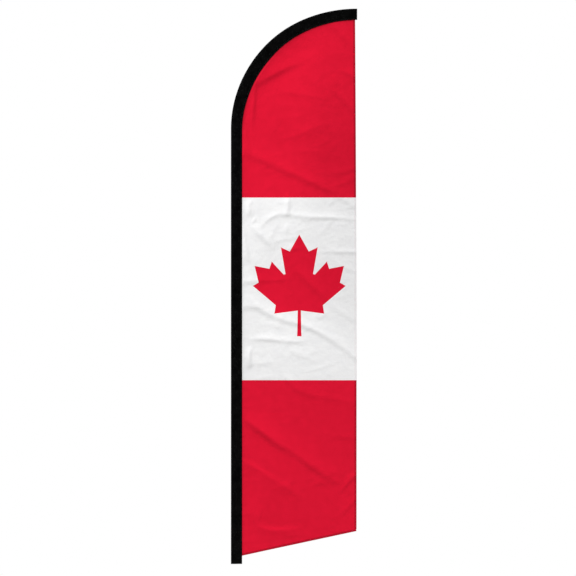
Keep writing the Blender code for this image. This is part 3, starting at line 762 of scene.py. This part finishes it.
def leaf_distance(tree, x, z):
    """Below 0 inside the leaf. Its two halves are alike, so x becomes |x|. Each edge of the half outline and
    the leaf's middle make a wedge; the distance to a wedge is the largest of those to its three sides, and
    the leaf's is the smallest of its wedges'. A side's distance is a dot product with (|x|, 1, z)."""
    overlap = 1 * MM
    aside = node(tree, "Math", (node(tree, "Math", (x, LEAF_X), operation="SUBTRACT"),), operation="ABSOLUTE")
    above = node(tree, "Math", (z, LEAF_TOP - LEAF_MIDDLE), operation="SUBTRACT")
    place = node(tree, "CombineXYZ", (aside, 1.0, above))
    nearest = None
    for start, end in zip(LEAF_HALF, LEAF_HALF[1:]):
        (x0, z0), (x1, z1) = [(a * MM, b * MM) for a, b in (start, end)]
        wedge = None
        for normal, through, ease in (((z0 - z1, x1 - x0), (x0, z0), 0.0), ((-z0, x0), (0.0, 0.0), overlap),
                                      ((z1, -x1), (0.0, 0.0), overlap)):
            normal = unit(np.array(normal, float))
            level = float(normal @ np.array(through)) + ease
            side = node(tree, "VectorMath", (place, (normal[0], -level, normal[1])), "Value",
                        operation="DOT_PRODUCT")
            wedge = side if wedge is None else node(tree, "Math", (wedge, side), operation="MAXIMUM")
        nearest = wedge if nearest is None else node(tree, "Math", (nearest, wedge), operation="MINIMUM")
    # the stem's own wedge is so slender that it has to be cut off square at the stem's foot
    below = node(tree, "Math", (LEAF_HALF[-1][1] * MM, above), operation="SUBTRACT")
    return node(tree, "Math", (nearest, below), operation="MAXIMUM")


def printed_polyester(white, red):
    """Dye-printed knitted polyester: matt, very even, the print sharp to a thread, a fine mesh and a soft
    crumple. white and red are each a darker and a lighter colour, which a slow mottle goes between."""
    def finish(tree, place):
        x = node(tree, "SeparateXYZ", (place,), "X")
        z = node(tree, "SeparateXYZ", (place,), "Z")
        above = node(tree, "Math", (z, WHITE_HIGH), operation="SUBTRACT")
        below = node(tree, "Math", (WHITE_LOW, z), operation="SUBTRACT")
        field = node(tree, "Math", (above, below), operation="MAXIMUM")
        inside = node(tree, "Math", (leaf_distance(tree, x, z), -1.0), operation="MULTIPLY")
        dyed = node(tree, "Math", (field, inside), operation="MAXIMUM")
        # the dye's edge bleeds 0.4 mm either way
        dyed = node(tree, "MapRange", (dyed, -0.4 * MM, 0.4 * MM, 0.0, 1.0))
        # dye takes unevenly over about 60 mm
        mottle = node(tree, "TexNoise", {"Vector": place, "Scale": 1 / (60 * MM), "Detail": 4.0}, "Fac")
        mottle = node(tree, "MapRange", (mottle, 0.3, 0.7, 0.0, 1.0))
        tones = [node(tree, "Mix", {0: mottle, 6: linear(dark), 7: linear(light)}, 2, data_type="RGBA")
                 for dark, light in (white, red)]
        tone = node(tree, "Mix", {0: dyed, 6: tones[0], 7: tones[1]}, 2, data_type="RGBA")
        # painted shadow beside the seam, partly the black seam allowance showing through: the print is mixed
        # towards near-black red
        shade = node(tree, "Attribute", (), "Fac", attribute_name="seam_show_through_and_painted_shadow")
        tone = node(tree, "Mix", {0: shade, 6: tone, 7: linear("#100405")}, 2, data_type="RGBA")
        # a knit of 1.2 mm wales would not show, so it is drawn at 3 mm
        knit = node(tree, "Math", (weave(tree, place, 3 * MM), 0.06), operation="MULTIPLY")
        stretched = node(tree, "Mapping", {"Vector": place, "Scale": (1.0, 1.0, 0.9)})
        crumple = node(tree, "TexNoise", {"Vector": stretched, "Scale": 1 / (24 * MM), "Detail": 5.0}, "Fac")
        # the undyed cloth is the crisper
        crispness = node(tree, "MapRange", (dyed, 0.0, 1.0, 1.3, 1.0))
        crumple = node(tree, "Math", (crumple, crispness), operation="MULTIPLY")
        height = node(tree, "Math", (knit, crumple), operation="ADD")
        bump = node(tree, "Bump", {"Height": height, "Distance": 2.2 * MM, "Strength": 0.55})
        return {"Base Color": tone, "Normal": bump, "Roughness": 0.82, "Specular IOR Level": 0.06,
                "Sheen Weight": 0.04, "Sheen Roughness": 0.5}
    return finish


def black_polyester(tree, place):
    """Black woven polyester: deep and matt, clouded by lint and wear over about 40 mm, and specked with the
    faint bloom of its raised threads."""
    cloud = node(tree, "TexNoise", {"Vector": place, "Scale": 1 / (40 * MM), "Detail": 5.0}, "Fac")
    cloud = node(tree, "MapRange", (cloud, 0.35, 0.65, 0.0, 1.0))
    tone = node(tree, "Mix", {0: cloud, 6: linear("#010101"), 7: linear("#080808")}, 2, data_type="RGBA")
    # specks of lint, a few millimetres across
    speck = node(tree, "TexNoise", {"Vector": place, "Scale": 1 / (9 * MM), "Detail": 2.0}, "Fac")
    speck = node(tree, "MapRange", (speck, 0.58, 0.74, 0.0, 1.0))
    tone = node(tree, "Mix", {0: speck, 6: tone, 7: linear("#161817")}, 2, data_type="RGBA")
    # 0.5 mm threads would not show, so they are drawn at 2.4 mm
    threads = node(tree, "Math", (weave(tree, place, 2.4 * MM), 0.12), operation="MULTIPLY")
    rumple = node(tree, "TexNoise", {"Vector": place, "Scale": 1 / (18 * MM), "Detail": 4.0}, "Fac")
    height = node(tree, "Math", (threads, rumple), operation="ADD")
    bump = node(tree, "Bump", {"Height": height, "Distance": 1.8 * MM, "Strength": 0.6})
    return {"Base Color": tone, "Normal": bump, "Roughness": 0.85, "Specular IOR Level": 0.04}


def webbing(tree, place):
    """Black polyester webbing: ribs across it every 1.6 mm, their crowns greyer than the gaps as painted
    highlight on the crowns and painted shade in the gaps.
    """
    height = node(tree, "SeparateXYZ", (place,), "Z")
    turn = node(tree, "Math", (height, 2 * math.pi / (1.6 * MM)), operation="MULTIPLY")
    rib = node(tree, "Math", (turn,), operation="SINE")
    # painted highlight on the rib crowns and painted shade in the gaps, from the rib's height
    painted_rib_light = node(tree, "MapRange", (rib, -1.0, 1.0, 0.0, 1.0))
    tone = node(tree, "Mix", {0: painted_rib_light, 6: linear("#0a0a0a"), 7: linear("#1b1b1b")}, 2, data_type="RGBA")
    bump = node(tree, "Bump", {"Height": rib, "Distance": 0.3 * MM, "Strength": 0.8})
    return {"Base Color": tone, "Normal": bump, "Roughness": 0.78, "Specular IOR Level": 0.2}


def thread(dark, light):
    """Spun polyester thread: a tight twist 0.8 mm long, darker in its hollows as painted shade, and a little
    shine.
    """
    def finish(tree, place):
        twist = node(tree, "TexNoise", {"Vector": place, "Scale": 1 / (0.8 * MM), "Detail": 1.0}, "Fac")
        # painted shade: the tone follows the twist's height, darker in its hollows
        tone = node(tree, "Mix", {0: twist, 6: linear(dark), 7: linear(light)}, 2, data_type="RGBA")
        bump = node(tree, "Bump", {"Height": twist, "Distance": 0.1 * MM, "Strength": 0.6})
        return {"Base Color": tone, "Normal": bump, "Roughness": 0.55}
    return finish


def worked_metal(dark, light, roughness, marks):
    """Bare metal with fine tool marks 0.9 mm apart, longer along an axis by marks: along Z on drawn tube,
    round the axis where it was turned. The marks and a slow clouding spread the shine unevenly."""
    def finish(tree, place):
        scale = tuple(1.0 / part for part in marks)
        stretched = node(tree, "Mapping", {"Vector": place, "Scale": scale})
        lines = node(tree, "TexNoise", {"Vector": stretched, "Scale": 1 / (0.9 * MM), "Detail": 4.0}, "Fac")
        cloud = node(tree, "TexNoise", {"Vector": place, "Scale": 1 / (30 * MM), "Detail": 3.0}, "Fac")
        shown = node(tree, "MapRange", (lines, 0.3, 0.7, 0.0, 1.0))
        tone = node(tree, "Mix", {0: shown, 6: linear(dark), 7: linear(light)}, 2, data_type="RGBA")
        fine = node(tree, "MapRange", (lines, 0.0, 1.0, roughness - 0.08, roughness + 0.08))
        broad = node(tree, "MapRange", (cloud, 0.3, 0.7, -0.05, 0.05))
        rough = node(tree, "Math", (fine, broad), operation="ADD")
        bump = node(tree, "Bump", {"Height": lines, "Distance": 0.05 * MM, "Strength": 0.6})
        return {"Base Color": tone, "Normal": bump, "Roughness": rough, "Metallic": 1.0}
    return finish


def moulded_nylon(tree, place):
    """Black moulded nylon: a spark-eroded grain of 0.7 mm, half matt, the black a little uneven over 9 mm."""
    grain = node(tree, "TexNoise", {"Vector": place, "Scale": 1 / (0.7 * MM), "Detail": 3.0}, "Fac")
    cloud = node(tree, "TexNoise", {"Vector": place, "Scale": 1 / (9 * MM), "Detail": 3.0}, "Fac")
    tone = node(tree, "Mix", {0: cloud, 6: linear("#121213"), 7: linear("#1c1c1e")}, 2, data_type="RGBA")
    rough = node(tree, "MapRange", (grain, 0.3, 0.7, 0.42, 0.58))
    bump = node(tree, "Bump", {"Height": grain, "Distance": 0.08 * MM, "Strength": 0.6})
    return {"Base Color": tone, "Normal": bump, "Roughness": rough}


def glass_fibre(tree, place):
    """Pultruded glass fibre: off-white, with streaks of fibre 1.2 mm across under a satin resin skin."""
    stretched = node(tree, "Mapping", {"Vector": place, "Scale": (1.0, 1.0, 1 / 90)})
    streak = node(tree, "TexNoise", {"Vector": stretched, "Scale": 1 / (1.2 * MM), "Detail": 4.0}, "Fac")
    shown = node(tree, "MapRange", (streak, 0.3, 0.7, 0.0, 1.0))
    tone = node(tree, "Mix", {0: shown, 6: linear("#c9c6b4"), 7: linear("#e6e4da")}, 2, data_type="RGBA")
    bump = node(tree, "Bump", {"Height": streak, "Distance": 0.06 * MM, "Strength": 0.5})
    return {"Base Color": tone, "Normal": bump, "Roughness": 0.38}


def floor_paint(tree, place):
    """Plain pale studio floor: matt painted board, faintly uneven over 0.4 m."""
    cloud = node(tree, "TexNoise", {"Vector": place, "Scale": 1 / 0.4, "Detail": 3.0}, "Fac")
    tone = node(tree, "Mix", {0: cloud, 6: linear("#c3c3c2"), 7: linear("#cbcbca")}, 2, data_type="RGBA")
    return {"Base Color": tone, "Roughness": 0.85, "Specular IOR Level": 0.2}


# ---------------------------------------------------------------- stage
def lamp(name, kind, place, target, power, **settings):
    """A soft light at a place, facing a target."""
    light = bpy.data.lights.new(name, kind)
    light.energy = power
    for setting, value in settings.items():
        setattr(light, setting, value)
    made = bpy.data.objects.new(name, light)
    bpy.context.scene.collection.objects.link(made)
    made.location = place
    direction = np.array(target) - np.array(place)
    flat = math.hypot(direction[0], direction[1])
    made.rotation_euler = (math.atan2(flat, -direction[2]), 0.0, math.atan2(-direction[0], direction[1]))
    return made


def stage():
    """Pale floor below the pole's foot, white surroundings, soft lights, and a long lens square on."""
    scene = bpy.context.scene
    angle = np.linspace(0.0, 2 * math.pi, 97)[:-1]
    middle = np.array([(cad_low.x + cad_high.x) / 2, 0.0, SLEEVE_FOOT - FLOOR_DROP])
    rings = [np.stack([radius * np.cos(angle), radius * np.sin(angle), np.zeros(96)], -1) + middle
             for radius in (0.02, 1.0, FLOOR_RADIUS)]
    floor = mesh_object("floor", np.stack(rings), grid_faces(3, 96, closed=True, flip=True),
                        material("pale_floor_paint", floor_paint))

    world = bpy.data.worlds.new("white_room")
    scene.world = world
    world.use_nodes = True
    tree = world.node_tree
    tree.nodes.clear()
    seen = node(tree, "LightPath", output="Is Camera Ray")
    strength = node(tree, "MapRange", (seen, 0.0, 1.0, WORLD_LIGHT, 1.0))
    back = node(tree, "Background", {"Color": linear("#ffffff"), "Strength": strength})
    node(tree, "OutputWorld", {"Surface": back})

    target = (0.38, 0.0, 1.75)
    lamp("key", "SUN", (-0.32, -2.4, 7.95), target, KEY_LIGHT, angle=math.radians(12))
    lamp("fill_left", "AREA", (-0.9, -1.25, 4.0), (0.38, 0.0, 4.0), LEFT_LIGHT,
         shape="RECTANGLE", size=0.6, size_y=5.0)
    lamp("fill_behind", "AREA", (4.5, 6.5, 6.0), target, BACK_LIGHT, shape="SQUARE", size=3.0)
    scene.view_settings.view_transform = "Standard"

    lens = bpy.data.cameras.new("camera")
    lens.sensor_width = SENSOR_WIDTH
    lens.lens = SENSOR_WIDTH * CAMERA_DISTANCE / WIDTH_SEEN
    lens.clip_end = 200.0
    camera = bpy.data.objects.new("camera", lens)
    scene.collection.objects.link(camera)
    camera.location = (0.3433, -CAMERA_DISTANCE, 1.7363)
    camera.rotation_euler = (math.pi / 2, 0.0, 0.0)
    scene.camera = camera


# ---------------------------------------------------------------- assembly
def main():
    """Makes every piece, puts it on its body, and gives the pole's parts their finishes."""
    stage()
    white, hem_red = ("#f2f2f3", "#f6f6f6"), ("#b80d28", "#be0e2a")
    printed = material("printed_knitted_polyester", printed_polyester(white, ("#de1030", "#e41233")))
    printed_hem = material("printed_knitted_polyester_hem", printed_polyester(white, hem_red))
    black = material("black_woven_polyester", black_polyester)
    web = material("black_ribbed_webbing", webbing)
    dark_thread = material("black_polyester_thread", thread("#1b1b1b", "#232323"))
    red_thread = material("red_polyester_thread", thread("#ac1029", "#c4142f"))

    cloth, cloth_area = flag_cloth(printed)
    fly, fly_rows = fly_hem(printed_hem)
    foot, foot_rows = foot_hem(printed_hem)
    sleeve = sleeve_cloth(black)
    turn = sleeve_turn(black)
    strap = strap_webbing(web)
    pocket = tip_webbing(web)

    fly_stitches = stitch_object("fly_hem_stitches", fly_rows, *HEM_STITCH, red_thread)
    foot_stitches = stitch_object("foot_hem_stitches", foot_rows, *HEM_STITCH, red_thread)

    seam_stitches = stitch_object("sleeve_seam_stitches", seam_rows(), *SEAM_STITCH, dark_thread)

    for piece, slot, replaced in (
            (cloth, "printed_cloth", "flag_panel"), (fly, "printed_cloth", "fly_hem"),
            (foot, "printed_cloth", "bottom_hem"), (sleeve, "black_cloth", "pole_sleeve"),
            (strap, "black_webbing", "hold_down_strap"), (pocket, "black_webbing", "tip_pocket"),
            (turn, "black_cloth", None), (fly_stitches, "printed_cloth", None),
            (foot_stitches, "printed_cloth", None), (seam_stitches, "black_cloth", None)):
        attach(piece, "flag")
        if replaced:
            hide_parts(replaced)

    drawn, turned = (1.0, 1.0, 60.0), (40.0, 40.0, 0.5)
    finishes = {
        "black_moulded_nylon": (moulded_nylon, ("foot_bush", "rod_plug", "tip_cap")),
        "drawn_aluminium": (worked_metal("#b6b8bb", "#c3c5c9", 0.34, drawn),
                            ("lower_tube", "middle_tube", "upper_tube")),
        "turned_aluminium": (worked_metal("#bbbdc2", "#c9cbd0", 0.30, turned), ("lower_connector",)),
        "zinc_plated_steel": (worked_metal("#a7a9ae", "#b4b6bb", 0.38, drawn),
                              ("upper_stop_ring", "stop_ring_rivet", "rod_plug_pin")),
        "turned_brass": (worked_metal("#bb9756", "#c9a25c", 0.32, turned), ("rod_ferrule",)),
        "white_pultruded_glass_fibre": (glass_fibre, ("lower_rod", "tip_rod")),
    }
    for name, (finish, parts) in finishes.items():
        made = material(name, finish)
        for part in parts:
            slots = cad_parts[part].data.materials
            slots.clear()
            slots.append(made)


main()
